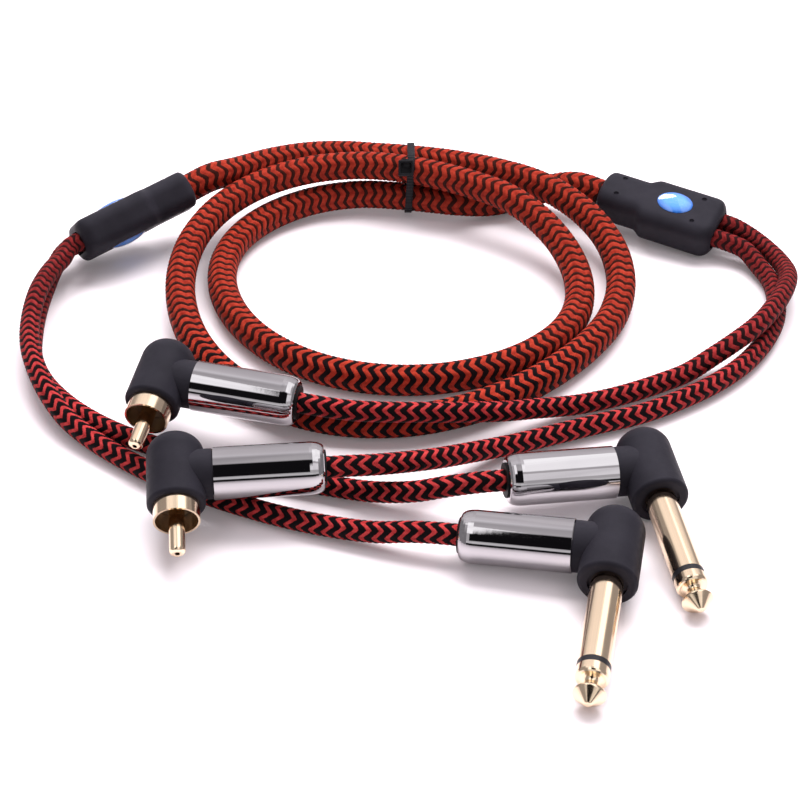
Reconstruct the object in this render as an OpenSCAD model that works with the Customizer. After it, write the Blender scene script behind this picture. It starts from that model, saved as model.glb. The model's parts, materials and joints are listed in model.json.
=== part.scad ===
// Instrument cable: a braided twin cable wound in a ring and tied, a Y splitter at each
// end, two thin leads per splitter, phono plugs on one side and 6.35 mm jacks on the other.
// Millimetres, +Z up. The cable lies on the plane z = 0.

/* [Cords] */
// diameter of the braided main cable
main_cable_dia = 7; // [6:0.1:7.1]
// diameter of each thin braided lead
lead_dia = 4.5; // [3.6:0.1:4.5]

/* [Ring of cable] */
// mean radius of the outer turn, to the cable's centre
outer_turn_r = 51.5; // [51:0.1:52]
// mean radius of the inner turn, to the cable's centre
inner_turn_r = 40.5; // [39:0.1:40.5]

/* [Plug bodies] */
// diameter of the moulded elbow
elbow_dia = 11.7; // [11.2:0.1:11.8]
// from the barrel's axis to the elbow's domed back
elbow_back = 9.2; // [8:0.1:9.2]
// rounding of the elbow's domed back
elbow_dome_r = 4.6; // [3:0.1:5]
// rounding of the elbow's contact face
elbow_face_edge = 0.8; // [0.4:0.1:1]
// diameter of the stem between the elbow and the barrel
stem_dia = 10.2; // [9.6:0.1:10.4]
// from the contact's axis to the barrel
stem_reach = 7.4; // [7:0.1:7.6]
// outside diameter of the chrome barrel
barrel_dia = 10.7; // [10.4:0.1:10.8]
// length of the chrome barrel
barrel_length = 22.2; // [21.4:0.1:22.3]
// wall of the chrome barrel
barrel_wall = 0.8; // [0.5:0.1:1]
// length of the rounded shoulder at the barrel's cable end
shoulder_length = 3; // [2:0.1:4]
// diameter of the barrel's flat end face
barrel_end_dia = 8.4; // [8:0.1:9]
// diameter of the cable bush where it leaves the barrel
bush_dia = 7.1; // [6.6:0.1:7.4]
// length the cable bush stands out of the barrel
bush_proud = 0.4; // [0.2:0.05:0.45]
// length of the spigot that the elbow puts in the barrel
spigot_length = 10; // [6:0.5:11]
// gap between parts pushed into each other, on the radius
push_gap = 0.05; // [0.03:0.01:0.1]

/* [Phono contact] */
// from the barrel's axis to the phono elbow's contact face
phono_face = 7.5; // [7.2:0.1:7.8]
// outside diameter of the outer ring
phono_ring_dia = 9.28; // [9.1:0.02:9.4]
// bore of the outer ring
phono_ring_bore = 8.46; // [8.3:0.02:8.5]
// length of the outer ring that stands out of the elbow
phono_ring_out = 3.5; // [3.3:0.1:4]
// depth the outer ring sits in the elbow
phono_ring_in = 3.2; // [2:0.1:4]
// diameter of the centre pin
phono_pin_dia = 3.2; // [3.1:0.05:3.25]
// diameter of the pin's root, in the insulator and the elbow
phono_pin_root_dia = 2.4; // [2:0.1:2.8]
// length of the centre pin beyond the ring's rim
phono_pin_out = 7.6; // [7:0.1:8]
// rounding of the centre pin's end
pin_round = 0.8; // [0.5:0.1:0.9]
// hole in the centre pin's end
pin_hole_dia = 1; // [0.8:0.1:1.2]
// depth of the hole in the pin's end
pin_hole_depth = 4; // [2:0.5:6]
// thickness of the phono insulator
phono_insulator_length = 2.6; // [2:0.1:3]

/* [Jack contact] */
// from the barrel's axis to the jack elbow's contact face
jack_face = 9.3; // [9:0.1:9.6]
// diameter of the jack's shank
jack_dia = 6.35; // [6.3:0.01:6.4]
// from the contact face to the insulating band
jack_sleeve_out = 20.3; // [20:0.1:20.6]
// depth the sleeve sits in the elbow
jack_sleeve_in = 7.2; // [5:0.1:7.6]
// diameter of the sleeve's root, in the elbow
jack_root_dia = 5.4; // [5:0.1:6]
// bore of the sleeve
jack_sleeve_bore = 3.8; // [3.4:0.1:4.2]
// width of the insulating band
jack_band = 1.2; // [0.8:0.1:1.6]
// bore of the liner tube inside the sleeve
liner_bore = 2.5; // [2.2:0.1:2.8]
// length of the collar behind the tip
tip_collar = 2.4; // [2:0.1:2.6]
// diameter of the groove behind the tip
tip_neck_dia = 2.8; // [2.6:0.1:3.2]
// largest diameter of the tip's double cone
tip_dia = 6.2; // [6:0.05:6.3]
// how much the collar's end is rounded off
collar_round = 0.8; // [0.5:0.1:1]
// length of the groove behind the tip
tip_neck = 0.8; // [0.6:0.1:1.2]
// from the tip's widest place to its end
tip_nose = 2.4; // [2:0.1:2.8]
// diameter of the small flat nose
nose_dia = 1; // [0.6:0.1:1.6]
// rounding of the tip's widest edge and of its nose
tip_edge = 0.4; // [0.3:0.05:0.5]
// length of the shank from the contact face to the tip's end
jack_reach = 29.5; // [29.2:0.1:29.8]
// depth of the recess round the shank
face_recess = 0.6; // [0.3:0.1:0.8]
// width of the recess round the shank
face_recess_w = 0.7; // [0.4:0.1:0.9]

/* [Splitters] */
// length of the splitter housing
splitter_length = 30.8; // [30.4:0.1:31]
// width of the half with the leads
splitter_wide = 15.4; // [15:0.1:15.4]
// width of the half with the main cable
splitter_narrow = 11.8; // [11.4:0.1:12.2]
// thickness of the housing
splitter_thick = 9.2; // [8.9:0.1:9.3]
// where the housing steps from narrow to wide
splitter_step = 11.2; // [10.6:0.1:11.8]
// rounding along the housing's edges
splitter_edge = 3.2; // [2.6:0.1:3.4]
// rounding of the end with the leads, seen from the side
end_edge = 2.6; // [2:0.1:2.8]
// rounding of the end with the main cable, seen from the side
neck_edge = 1.8; // [1.4:0.1:2]
// rounding of the corners beside the main cable, seen from the top
neck_r = 4; // [3.4:0.1:4.4]
// from the housing's centre line to each lead
lead_spacing = 2.8; // [2.7:0.05:2.9]
// depth of the recess that the leads leave from
lead_recess = 2; // [1.6:0.1:2.2]
// gap round a lead in that recess
lead_recess_gap = 0.4; // [0.3:0.1:0.5]
// length of the badge
badge_length = 8.8; // [8.4:0.1:9]
// width of the badge
badge_width = 6.9; // [6.6:0.1:7.2]
// how far the badge stands out of the housing
badge_proud = 1.1; // [0.9:0.05:1.2]
// where the badge's centre is, from the housing's narrow end
badge_place = 19; // [18.4:0.1:19.4]
// rounding of the corners beside the leads, seen from the top
end_r = 4; // [3:0.1:4.4]
// diameter of the round dimples in the faces
dimple_dia = 1.4; // [1.2:0.1:1.6]
// from the narrow end to the dimples near it
neck_dimple = 4.5; // [4:0.1:5]
// from the wide end to the dimples near it
end_dimple = 5.8; // [5.4:0.1:6.2]
// from the centre line to the dimples of the wide half
dimple_side = 4; // [3.6:0.1:4.2]

/* [Tie] */
// width of the tie's strap
strap_width = 2.2; // [2:0.1:3]
// thickness of the tie's strap
strap_thick = 0.8; // [0.6:0.05:0.85]
// gap between the strap and the strands
strap_gap = 0.15; // [0.1:0.05:0.2]
// side of the tie's square head
head_size = 4; // [3.6:0.1:4.4]
// length of the strap's cut end, out of the head
strap_stub = 2; // [1:0.5:4]
// height of the tie's head over the strap
head_height = 3.2; // [2.8:0.1:3.6]

/* [Hidden] */
$fn = 64;

// derived sizes of the plugs
eps = 0.01;
elbow_r = elbow_dia / 2;
stem_r = stem_dia / 2;
barrel_r = barrel_dia / 2;
barrel_end_r = barrel_end_dia / 2;
barrel_bore_r = barrel_r - barrel_wall;
barrel_far = stem_reach + barrel_length;
shoulder_start = barrel_far - shoulder_length;
bush_r = bush_dia / 2;
bush_end = barrel_far + bush_proud;
spigot_end = stem_reach + spigot_length;
bush_step = shoulder_start - 0.4;
phono_rim = phono_face + phono_ring_out;
phono_ring_back = phono_face - phono_ring_in;
phono_pin_end = phono_rim + phono_pin_out;
phono_pin_back = 2.2;
jack_r = jack_dia / 2;
sleeve_back = jack_face - jack_sleeve_in;
sleeve_end = jack_face + jack_sleeve_out;
band_end = sleeve_end + jack_band;
jack_end = jack_face + jack_reach;
liner_r = jack_sleeve_bore / 2 - push_gap;
rod_r = liner_bore / 2 - push_gap;
end_gap = 0.1;
pin_foot = phono_ring_back + phono_insulator_length + end_gap;
shank_foot = jack_face - face_recess + end_gap;

// derived sizes of the splitters
half_wide = splitter_wide / 2;
half_thick = splitter_thick / 2;

// the free stretches and the plugs lie round the ring, and move out as its outer turn grows;
// their points below are laid for an outer turn of 51.5 mm radius and leads of 4.5 mm
ring_x = -3;
ring_y = 43;
ring_growth = outer_turn_r / 51.5;
lead_growth = lead_dia / 4.5;
function spread(p) = [
  ring_x + (p[0] - ring_x) * ring_growth,
  ring_y + (p[1] - ring_y) * ring_growth,
  p[2] * lead_growth];

// places and turns of the plugs: point where the barrel's axis meets the contact's axis
rear_phono_at = spread([-53.8, -8.5, 12.2]);
rear_phono_turn = [13, 2.5, -12.4];
front_phono_at = spread([-48.1, -38.9, 10.4]);
front_phono_turn = [16, 0, 5.3];
rear_jack_at = spread([47, -32.1, 6.75]);
rear_jack_turn = [5.7, 1.8, 9.3];
front_jack_at = spread([37.4, -57.2, 6.75]);
front_jack_turn = [5.7, -2.7, -11.6];

// places and turns of the splitters: middle of the narrow end
right_splitter_at = spread([46.9, 77.7, 7.7]);
right_splitter_turn = [13.2, 4, -27.5];
left_splitter_at = spread([-55.5, 71.5, 12.6]);
left_splitter_turn = [39.3, 10, 214];

// shape of the ring of cable: three waves on each turn's radius
outer_wave = [[-2.2, -2.1], [0.5, 0.3], [1.6, 1.3]];
inner_wave = [[-1.4, 0], [1.3, -2.4], [0.9, 0.2]];
rings_per_turn = 24;
floor_z = main_cable_dia / 2;

function smooth(u) = u <= 0 ? 0 : u >= 1 ? 1 : u * u * (3 - 2 * u);
function wave(w, a) =
  w[0][0] * cos(a) + w[0][1] * sin(a)
  + w[1][0] * cos(2 * a) + w[1][1] * sin(2 * a)
  + w[2][0] * cos(3 * a) + w[2][1] * sin(3 * a);
function drop(u) = 1 - smooth((u - 0.1) / 0.2);
function ring_height(t) =
  t < 0.5 ? 7.2 * drop(t) :
  t <= 1 ? 8.5 * smooth((t - 0.5) / 0.5) :
  t < 1.8 ? 8.5 * drop(t - 1) : 1.05 * smooth((t - 1.84) / 0.14);
function ring_radius(t, a, s) =
  (outer_turn_r + wave(outer_wave, a)) * (1 - s) + (inner_turn_r + wave(inner_wave, a)) * s;
function ring_point(t) =
  let (a = 90 - 360 * t, r = ring_radius(t, a, smooth((t - 0.66) / 0.42)))
  [ring_x + r * cos(a), ring_y + r * sin(a), floor_z + ring_height(t)];

coil_start = ring_point(0) + main_cable_dia * [-1, 0.13, 0];
coil_end = ring_point(2) + main_cable_dia * [1, -0.2, 0];
coil_route = concat(
  [coil_start],
  [for (i = [0 : 2 * rings_per_turn]) ring_point(i / rings_per_turn)],
  [coil_end]);

// a point of a plug or a splitter, carried to where that piece lies
function turn_x(a, p) = [p[0], p[1] * cos(a) - p[2] * sin(a), p[1] * sin(a) + p[2] * cos(a)];
function turn_y(a, p) = [p[0] * cos(a) + p[2] * sin(a), p[1], p[2] * cos(a) - p[0] * sin(a)];
function turn_z(a, p) = [p[0] * cos(a) - p[1] * sin(a), p[0] * sin(a) + p[1] * cos(a), p[2]];
function placed(at, turn, p) = at + turn_z(turn[2], turn_y(turn[1], turn_x(turn[0], p)));

// the straight start of a lead in a splitter (side -1 or 1), and its straight end at a plug
function lead_start(at, turn, side) = [for (d = [0, lead_dia])
  placed(at, turn, [splitter_length - lead_recess + d, side * lead_spacing, 0])];
function lead_end(at, turn, way) = [for (d = [lead_dia, 0])
  placed(at, turn, [way * (bush_end + d), 0, 0])];
function laid(p) = [for (q = p) spread(q)];

// routes of the free stretches
left_tail_route = concat(
  [left_splitter_at, placed(left_splitter_at, left_splitter_turn, [-main_cable_dia, 0, 0])],
  laid([[-43.9, 79.9, 13], [-35.7, 85.9, 12.3], [-26.4, 91, 11.2]]),
  [coil_start + main_cable_dia * [-1, 0.13, 0], coil_start]);
right_tail_route = concat(
  [coil_end, coil_end + main_cable_dia * [1, -0.2, 0]],
  laid([[19, 80.3, 3.8], [27, 83.9, 3.6], [34.2, 83.6, 6]]),
  [placed(right_splitter_at, right_splitter_turn, [-main_cable_dia, 0, 0]), right_splitter_at]);
rear_phono_route = concat(
  lead_start(right_splitter_at, right_splitter_turn, 1),
  laid([[82.2, 61.8, 4.5], [85.8, 56, 3.9], [87.6, 49.5, 4.3], [87.5, 42.5, 5.7],
    [85.5, 35.5, 6.8], [82, 28, 7.1], [77, 20.5, 6.9], [71.5, 15.5, 5.8], [66, 12, 4],
    [60, 8, 2.5], [54, 4.5, 2.3], [47.5, 1, 2.3], [40.5, -2, 2.3], [33.5, -4.5, 2.6],
    [26, -7.5, 4], [18, -11, 5.8], [10, -13.5, 7.4], [1.5, -15.3, 8.7], [-7, -16.4, 9.6],
    [-14, -16.8, 10.3]]),
  lead_end(rear_phono_at, rear_phono_turn, 1));
front_phono_route = concat(
  lead_start(right_splitter_at, right_splitter_turn, -1),
  laid([[79.4, 57.2, 4.1], [82.3, 51.8, 2.8], [84.2, 46, 2.3], [84.4, 39.5, 2.3], [83, 30, 2.3],
    [79, 20.5, 2.3], [73, 11.5, 2.3], [65.5, 4, 2.3], [56.5, -2.5, 2.3], [47.5, -7.5, 2.3],
    [38, -11, 2.3], [28, -15, 2.3], [19, -19, 2.8], [11, -23.5, 4.4], [3.5, -28.4, 6.6],
    [-3.5, -32.4, 8.7], [-8.8, -34.8, 10]]),
  lead_end(front_phono_at, front_phono_turn, 1));
front_jack_route = concat(
  lead_start(left_splitter_at, left_splitter_turn, 1),
  laid([[-83.1, 46.5, 8], [-84.9, 40.6, 8.4], [-86.4, 31, 8.6], [-86.7, 22, 7.5],
    [-85.5, 12.5, 6.9], [-82.8, 4, 6.3], [-79, -4, 5.2], [-74, -11.2, 3.7],
    [-67.5, -17.5, 2.7], [-60.5, -23.2, 2.3], [-52.5, -29, 2.3], [-44.5, -33.7, 2.3],
    [-36, -38, 2.3], [-26.5, -42, 2.3], [-17, -45.2, 2.5], [-8.5, -47.8, 3.3],
    [-1.5, -49.3, 4.6]]),
  lead_end(front_jack_at, front_jack_turn, -1));
rear_jack_route = concat(
  lead_start(left_splitter_at, left_splitter_turn, -1),
  laid([[-85.7, 50, 3.7], [-86.6, 41.6, 3.3], [-87.1, 33, 2.9], [-86.9, 24, 2.4],
    [-85.5, 14, 2.3], [-81.8, 5, 2.3], [-76.5, -2.5, 2.3], [-70, -9, 2.3],
    [-62.5, -14.5, 2.3], [-54, -19, 2.3], [-45, -23, 2.3], [-36, -26.5, 2.3],
    [-27, -29.4, 2.3], [-18, -31.9, 2.3], [-9, -34.6, 2.9], [-0.5, -37, 4.9],
    [6.6, -38.1, 7.2]]),
  lead_end(rear_jack_at, rear_jack_turn, -1));

function unit(v) = v / norm(v);
function heading(p, i) =
  i == 0 ? unit(p[1] - p[0]) :
  i == len(p) - 1 ? unit(p[i] - p[i - 1]) : unit(unit(p[i + 1] - p[i]) + unit(p[i] - p[i - 1]));
function tube_ring(p, i, r, sides, turn) =
  let (t = heading(p, i), side = unit(cross(t, [0, 0, 1])), top = cross(side, t))
  [for (k = [0 : sides - 1])
    let (a = turn + 360 * k / sides) p[i] + r * (cos(a) * side + sin(a) * top)];
function tube_points(p, r, sides, turn) =
  [for (i = [0 : len(p) - 1]) each tube_ring(p, i, r, sides, turn)];
function tube_faces(rings, sides) = concat(
  [for (k = [1 : sides - 2]) [0, k + 1, k]],
  [for (i = [0 : rings - 2]) for (k = [0 : sides - 1])
    let (a = i * sides + k, b = i * sides + (k + 1) % sides)
    each [[a, b, b + sides], [a, b + sides, a + sides]]],
  [for (k = [1 : sides - 2])
    let (e = (rings - 1) * sides) [e, e + k, e + k + 1]]);

// least gap of the wound cable to itself, measured between ring centres of the two turns
coil_gaps = [for (i = [0 : len(coil_route) - 1]) for (j = [0 : len(coil_route) - 1])
  if (j - i > rings_per_turn / 2) norm(coil_route[i] - coil_route[j]) - main_cable_dia];
echo(least_coil_gap = min(coil_gaps));

module tube(p, r, sides, turn) {
  polyhedron(
    points = tube_points(p, r, sides, turn),
    faces = tube_faces(len(p), sides),
    convexity = 10);
}

module main_tube(p) {
  color([0.75, 0.2, 0.13]) tube(p, main_cable_dia / 2, 8, 22.5);
}

module lead_tube(p) {
  color([0.7, 0.18, 0.2]) tube(p, lead_dia / 2, 8, 22.5);
}

// ---- plug pieces: barrel along +X, contact along -Y, the two axes meet at the origin

// turns a profile drawn as [radius, distance] about the contact's axis
module on_contact_axis() {
  rotate([90, 0, 0]) rotate_extrude($fn = 64) children();
}

// turns a profile drawn as [radius, distance] about the barrel's axis
module on_barrel_axis() {
  rotate([0, 90, 0]) rotate_extrude($fn = 64) children();
}

// half profile of a round bar from distance a to b
module bar(a, b, r) {
  translate([0, a]) square([r, b - a]);
}

// half profile of a round tube from distance a to b
module pipe(a, b, r_in, r_out) {
  translate([r_in, a]) square([r_out - r_in, b - a]);
}

module elbow_profile(face) {
  bar(-elbow_back, face, elbow_r - elbow_dome_r);
  bar(-elbow_back + elbow_dome_r, face - elbow_face_edge, elbow_r);
  bar(0, face, elbow_r - elbow_face_edge);
  translate([elbow_r - elbow_face_edge, face - elbow_face_edge]) circle(elbow_face_edge);
  intersection() {
    translate([elbow_r - elbow_dome_r, -elbow_back + elbow_dome_r]) circle(elbow_dome_r);
    bar(-elbow_back, face, elbow_r);
  }
}

module elbow(face) {
  color([0.2, 0.19, 0.22]) difference() {
    union() {
      on_contact_axis() elbow_profile(face);
      on_barrel_axis() {
        bar(0, stem_reach - end_gap / 2, stem_r);
        bar(stem_reach - end_gap, spigot_end, barrel_bore_r - push_gap);
      }
    }
    children();
  }
}

module phono_elbow() {
  elbow(phono_face) {
    on_contact_axis() bar(phono_ring_back, phono_face + 1, phono_ring_dia / 2 + push_gap);
    on_contact_axis() bar(phono_pin_back - end_gap, phono_face, phono_pin_root_dia / 2 + push_gap);
  }
}

module jack_elbow() {
  elbow(jack_face) {
    on_contact_axis() bar(sleeve_back, jack_face, jack_root_dia / 2 + push_gap);
    on_contact_axis() bar(jack_face - face_recess, jack_face + 1, jack_r + face_recess_w);
  }
}

module barrel_profile() {
  polygon(concat(
    [[0, stem_reach], [barrel_r - 0.15, stem_reach], [barrel_r, stem_reach + 0.15]],
    [for (k = [0 : 8]) [
      barrel_end_r + (barrel_r - barrel_end_r) * cos(k * 11.25),
      shoulder_start + shoulder_length * sin(k * 11.25)]],
    [[0, barrel_far]]));
}

module barrel() {
  color([0.8, 0.8, 0.82]) on_barrel_axis() difference() {
    barrel_profile();
    bar(stem_reach - 1, shoulder_start, barrel_bore_r);
    bar(stem_reach, barrel_far + 1, bush_r + push_gap);
  }
}

module bush() {
  color([0.08, 0.08, 0.08]) on_barrel_axis() {
    bar(spigot_end + end_gap, bush_step, barrel_bore_r - push_gap);
    bar(bush_step - eps, bush_end, bush_r);
  }
}

module phono_ring() {
  color([0.85, 0.72, 0.5]) on_contact_axis()
    pipe(phono_ring_back + push_gap, phono_rim, phono_ring_bore / 2, phono_ring_dia / 2);
}

module phono_insulator() {
  color([0.3, 0.22, 0.14]) on_contact_axis() pipe(
    phono_ring_back + push_gap, phono_ring_back + phono_insulator_length,
    phono_pin_root_dia / 2 + push_gap, phono_ring_bore / 2 - push_gap);
}

module phono_pin() {
  color([0.87, 0.75, 0.53]) on_contact_axis() difference() {
    union() {
      bar(phono_pin_back, pin_foot + 1, phono_pin_root_dia / 2);
      bar(pin_foot, phono_pin_end - pin_round, phono_pin_dia / 2);
      bar(pin_foot, phono_pin_end, phono_pin_dia / 2 - pin_round);
      translate([phono_pin_dia / 2 - pin_round, phono_pin_end - pin_round]) circle(pin_round);
    }
    bar(phono_pin_end - pin_hole_depth, phono_pin_end + 1, pin_hole_dia / 2);
  }
}

module jack_sleeve() {
  color([0.87, 0.75, 0.55]) on_contact_axis() {
    pipe(sleeve_back + end_gap, shank_foot + 1, jack_sleeve_bore / 2, jack_root_dia / 2);
    pipe(shank_foot, sleeve_end, jack_sleeve_bore / 2, jack_r);
  }
}

module jack_insulator() {
  color([0.07, 0.07, 0.07]) on_contact_axis() {
    pipe(sleeve_back + end_gap, sleeve_end + end_gap, liner_bore / 2, liner_r);
    pipe(sleeve_end + push_gap, band_end, liner_bore / 2, jack_r);
  }
}

module jack_tip() {
  neck_r = tip_neck_dia / 2;
  wide_r = tip_dia / 2;
  collar_end = band_end + tip_collar;
  widest = jack_end - tip_nose;
  color([0.87, 0.75, 0.55]) on_contact_axis() {
    bar(sleeve_back + end_gap, band_end + tip_collar / 2, rod_r);
    polygon(concat(
      [[0, band_end + push_gap], [jack_r, band_end + push_gap]],
      [for (k = [0 : 4]) [
        jack_r - collar_round * (1 - cos(22.5 * k)),
        collar_end - collar_round * (1 - sin(22.5 * k))]],
      [for (k = [1 : 5]) [
        neck_r + (jack_r - collar_round - neck_r) * (1 - k / 5) * (1 - k / 5),
        collar_end + tip_neck * k / 5]],
      [[neck_r, collar_end + tip_neck * 1.3]],
      [for (k = [0 : 5]) [
        wide_r - tip_edge * (1 - cos(17 * k - 38)), widest + tip_edge * sin(17 * k - 38)]],
      [for (k = [0 : 2]) [
        nose_dia / 2 + tip_edge * (cos(47 + 20 * k) - 0.05),
        jack_end - tip_edge * (1 - sin(47 + 20 * k))]],
      [[0, jack_end]]));
  }
}

module phono_piece(at, turn) {
  translate(at) rotate(turn) children();
}

module jack_piece(at, turn) {
  translate(at) rotate(turn) rotate([0, 180, 0]) children();
}

// ---- splitter pieces: long axis along +X from the main cable to the leads

module rounded_section(w, h, r) {
  square([w, h - 2 * r], center = true);
  square([w - 2 * r, h], center = true);
  for (x = [-1, 1]) for (y = [-1, 1])
    translate([x * (w / 2 - r), y * (h / 2 - r)]) circle(r, $fn = 32);
}

// a block along +X, rounded along its edges, at its upright corners and at its two ends
module rounded_block(from, to, w, corner_r, end_r) {
  intersection() {
    translate([from, 0, 0]) rotate([90, 0, 90]) linear_extrude(to - from)
      rounded_section(w, splitter_thick, splitter_edge);
    translate([(from + to) / 2, 0, -half_thick]) linear_extrude(splitter_thick)
      rounded_section(to - from, w, corner_r);
    rotate([90, 0, 0]) translate([(from + to) / 2, 0, -half_wide]) linear_extrude(splitter_wide)
      rounded_section(to - from, splitter_thick, end_r);
  }
}

module splitter_body() {
  rounded_block(0, splitter_step + 8, splitter_narrow, neck_r, neck_edge);
  rounded_block(splitter_step, splitter_length, splitter_wide, end_r, end_edge);
}

module splitter_housing() {
  neck_side = dimple_side - (splitter_wide - splitter_narrow) / 2 + 0.6;
  color([0.2, 0.19, 0.22]) difference() {
    splitter_body();
    for (y = [-1, 1]) translate([splitter_length - lead_recess, y * lead_spacing, 0])
      rotate([0, 90, 0]) cylinder(r = lead_dia / 2 + lead_recess_gap, h = lead_recess + 1);
    translate([splitter_length - lead_recess, -lead_spacing, -lead_dia / 2 - lead_recess_gap])
      cube([lead_recess + 1, 2 * lead_spacing, lead_dia + 2 * lead_recess_gap]);
    for (z = [-1, 1]) {
      for (y = [-1, 1]) {
        translate([neck_dimple, y * neck_side, z * half_thick]) sphere(r = dimple_dia / 2);
        translate([splitter_length - end_dimple, y * dimple_side, z * half_thick])
          sphere(r = dimple_dia / 2);
      }
      translate([badge_place, 0, z * half_thick]) badge_disc(push_gap, 1.6);
    }
  }
}

// an oval disc, grown by some amount all round
module badge_disc(grow, depth) {
  translate([0, 0, -depth / 2]) linear_extrude(depth) polygon([for (k = [0 : 47]) [
    (badge_length / 2 + grow) * cos(7.5 * k), (badge_width / 2 + grow) * sin(7.5 * k)]]);
}

// the badge for one face: side is 1 for the top face and -1 for the bottom face
module splitter_badge(side) {
  rise = badge_proud - 0.2;
  dome_r = (badge_length * badge_length / 4 + rise * rise) / (2 * rise);
  depth = 0.8 - push_gap + badge_proud;
  color([0.3, 0.55, 0.9]) translate([badge_place, 0, side * half_thick])
    rotate([side > 0 ? 0 : 180, 0, 0]) intersection() {
      translate([0, 0, badge_proud - depth / 2]) badge_disc(0, depth);
      translate([0, 0, badge_proud - dome_r]) sphere(r = dome_r, $fn = 96);
    }
}

module right_splitter_place() {
  translate(right_splitter_at) rotate(right_splitter_turn) children();
}

module left_splitter_place() {
  translate(left_splitter_at) rotate(left_splitter_turn) children();
}

// ---- the tie round the three strands
strap_x = ring_x + 1.5;
strap_r = main_cable_dia / 2 + strap_gap;
head_turn = 147;
function on_leg(a, b) = a + (b - a) * (strap_x - a[0]) / (b[0] - a[0]);
strands = [
  on_leg(ring_point(0), ring_point(1 / rings_per_turn)),
  on_leg(ring_point(1), ring_point(1 + 1 / rings_per_turn)),
  on_leg(ring_point(2), coil_end)];

module strand_hull(r) {
  hull() for (p = strands) translate([p[1], p[2]]) circle(r, $fn = 40);
}

module tie() {
  color([0.08, 0.08, 0.09]) {
    difference() {
      translate([strap_x - strap_width / 2, 0, 0]) rotate([90, 0, 90])
        linear_extrude(strap_width) strand_hull(strap_r + strap_thick);
      translate([strap_x - strap_width, 0, 0]) rotate([90, 0, 90])
        linear_extrude(2 * strap_width) strand_hull(strap_r);
    }
    translate([strap_x, strands[1][1], strands[1][2]]) rotate([head_turn, 0, 0]) {
      translate([-head_size / 2, strap_r + strap_thick / 2, -head_size / 2])
        cube([head_size, head_height + strap_thick / 2, head_size]);
      translate([-strap_width / 2, strap_r + strap_thick + head_height * 0.4,
        -head_size / 2 - strap_stub]) cube([strap_width, strap_thick, strap_stub + head_size / 2]);
    }
  }
}

module main_cable_coil() {
  color([0.75, 0.2, 0.13]) tube(coil_route, main_cable_dia / 2, 6, 0);
}
module left_main_cable() { main_tube(left_tail_route); }
module right_main_cable() { main_tube(right_tail_route); }
module rear_phono_lead() { lead_tube(rear_phono_route); }
module front_phono_lead() { lead_tube(front_phono_route); }
module rear_jack_lead() { lead_tube(rear_jack_route); }
module front_jack_lead() { lead_tube(front_jack_route); }

main_cable_coil();
left_main_cable();
right_main_cable();
tie();  // cable_tie
left_splitter_place() splitter_housing();  // left_splitter_housing
left_splitter_place() splitter_badge(1);  // left_splitter_top_badge
left_splitter_place() splitter_badge(-1);  // left_splitter_bottom_badge
right_splitter_place() splitter_housing();  // right_splitter_housing
right_splitter_place() splitter_badge(1);  // right_splitter_top_badge
right_splitter_place() splitter_badge(-1);  // right_splitter_bottom_badge
rear_phono_lead();
front_phono_lead();
rear_jack_lead();
front_jack_lead();
phono_piece(rear_phono_at, rear_phono_turn) phono_elbow();  // rear_phono_elbow
phono_piece(rear_phono_at, rear_phono_turn) barrel();  // rear_phono_barrel
phono_piece(rear_phono_at, rear_phono_turn) bush();  // rear_phono_bush
phono_piece(rear_phono_at, rear_phono_turn) phono_ring();  // rear_phono_ring
phono_piece(rear_phono_at, rear_phono_turn) phono_insulator();  // rear_phono_insulator
phono_piece(rear_phono_at, rear_phono_turn) phono_pin();  // rear_phono_pin
phono_piece(front_phono_at, front_phono_turn) phono_elbow();  // front_phono_elbow
phono_piece(front_phono_at, front_phono_turn) barrel();  // front_phono_barrel
phono_piece(front_phono_at, front_phono_turn) bush();  // front_phono_bush
phono_piece(front_phono_at, front_phono_turn) phono_ring();  // front_phono_ring
phono_piece(front_phono_at, front_phono_turn) phono_insulator();  // front_phono_insulator
phono_piece(front_phono_at, front_phono_turn) phono_pin();  // front_phono_pin
jack_piece(rear_jack_at, rear_jack_turn) jack_elbow();  // rear_jack_elbow
jack_piece(rear_jack_at, rear_jack_turn) barrel();  // rear_jack_barrel
jack_piece(rear_jack_at, rear_jack_turn) bush();  // rear_jack_bush
jack_piece(rear_jack_at, rear_jack_turn) jack_sleeve();  // rear_jack_sleeve
jack_piece(rear_jack_at, rear_jack_turn) jack_insulator();  // rear_jack_insulator
jack_piece(rear_jack_at, rear_jack_turn) jack_tip();  // rear_jack_tip
jack_piece(front_jack_at, front_jack_turn) jack_elbow();  // front_jack_elbow
jack_piece(front_jack_at, front_jack_turn) barrel();  // front_jack_barrel
jack_piece(front_jack_at, front_jack_turn) bush();  // front_jack_bush
jack_piece(front_jack_at, front_jack_turn) jack_sleeve();  // front_jack_sleeve
jack_piece(front_jack_at, front_jack_turn) jack_insulator();  // front_jack_insulator
jack_piece(front_jack_at, front_jack_turn) jack_tip();  // front_jack_tip
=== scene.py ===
import json
import math

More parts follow.
